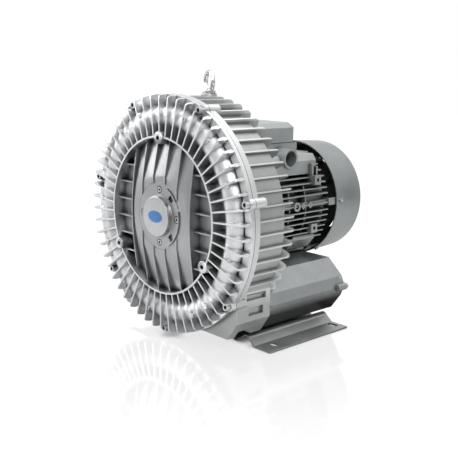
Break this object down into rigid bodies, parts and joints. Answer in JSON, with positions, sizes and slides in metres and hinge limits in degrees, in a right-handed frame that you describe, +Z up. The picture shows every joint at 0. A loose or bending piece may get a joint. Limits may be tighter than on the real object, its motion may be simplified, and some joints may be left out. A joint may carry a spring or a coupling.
{
  "type": "side-channel air blower",
  "caption": "Side-channel air blower: finned ring casing with ribbed cover, fan-cooled motor, two silencers under it and a pressed steel base.",
  "frame": {"origin": "on the floor, at the centre of the four foot slots", "axes": "+Z up, +Y along the shaft from the ribbed cover to the fan cowl, +X to the side of the cable entry and the outlet silencer"},
  "size_m": [0.4422, 0.4629, 0.4971],
  "materials": {
    "cover_alloy": "bright blasted casting, bare",
    "casing_paint": "satin metallic grey coat on a casting",
    "motor_paint": "satin metallic grey coat on a casting",
    "silencer_paint": "satin metallic grey coat on a casting",
    "cowl_paint": "satin metallic grey coat on pressed sheet",
    "base_paint": "satin grey coat on pressed steel",
    "zinc_plate": "bright zinc plating",
    "eye_plate": "polished zinc plating",
    "badge_blue": "glossy blue, bare",
    "black_rubber": "matt",
    "bearing_steel": "ground and polished",
    "impeller_alloy": "bare casting",
    "shaft_steel": "turned and ground",
    "core_steel": "dark laminations",
    "winding_copper": "varnished copper wire",
    "fan_plastic": "matt black",
    "terminal_plastic": "matt dark brown",
    "stud_brass": "bare brass",
    "liner_foam": "open-cell sound foam"
  },
  "bodies": {
    "root": {"front_cover": "cover_alloy", "cover_gasket": "black_rubber", "bearing_cap": "cover_alloy", "cap_screws": "zinc_plate", "cap_badge": "badge_blue", "cover_bolts": "zinc_plate", "rear_casing": "casing_paint", "shaft_seal": "black_rubber", "eye_bolt": "eye_plate", "front_bearing_outer": "bearing_steel", "stator_core": "core_steel", "stator_winding": "winding_copper", "motor_frame": "motor_paint", "tie_bolts": "zinc_plate", "rear_shield": "motor_paint", "rear_bearing_outer": "bearing_steel", "preload_spring": "shaft_steel", "fan_cowl": "cowl_paint", "cowl_screws": "zinc_plate", "terminal_box": "motor_paint", "box_gasket": "black_rubber", "box_lid": "motor_paint", "lid_screws": "zinc_plate", "terminal_block": "terminal_plastic", "terminal_studs": "stud_brass", "inlet_silencer": "silencer_paint", "outlet_silencer": "silencer_paint", "inlet_gasket": "black_rubber", "outlet_gasket": "black_rubber", "inlet_cover": "silencer_paint", "outlet_cover": "silencer_paint", "inlet_liner": "liner_foam", "outlet_liner": "liner_foam", "silencer_bolts": "zinc_plate", "silencer_screws": "zinc_plate", "base_plate": "base_paint", "base_bolts": "zinc_plate"},
    "rotor": {"shaft": "shaft_steel", "rotor_core": "core_steel", "impeller": "impeller_alloy", "impeller_key": "shaft_steel", "spacer_sleeve": "shaft_steel", "shaft_washer": "zinc_plate", "shaft_screw": "zinc_plate", "front_bearing_inner": "bearing_steel", "rear_bearing_inner": "bearing_steel", "cooling_fan": "fan_plastic", "fan_clip": "shaft_steel"},
    "front_balls": {"front_bearing_balls": "bearing_steel"},
    "rear_balls": {"rear_bearing_balls": "bearing_steel"}
  },
  "joints": [
    {"name": "rotor_spin", "type": "hinge", "parent": "root", "child": "rotor", "pos_m": [0, -0.198, 0.233], "axis": [0, 1, 0], "continuous": true},
    {"name": "front_balls_orbit", "type": "hinge", "parent": "root", "child": "front_balls", "pos_m": [0, -0.198, 0.233], "axis": [0, 1, 0], "continuous": true},
    {"name": "rear_balls_orbit", "type": "hinge", "parent": "root", "child": "rear_balls", "pos_m": [0, 0.123, 0.233], "axis": [0, 1, 0], "continuous": true}
  ],
  "couplings": [
    {"joint": "front_balls_orbit", "follows": "rotor_spin", "ratio": 0.3967},
    {"joint": "rear_balls_orbit", "follows": "rotor_spin", "ratio": 0.3967}
  ]
}
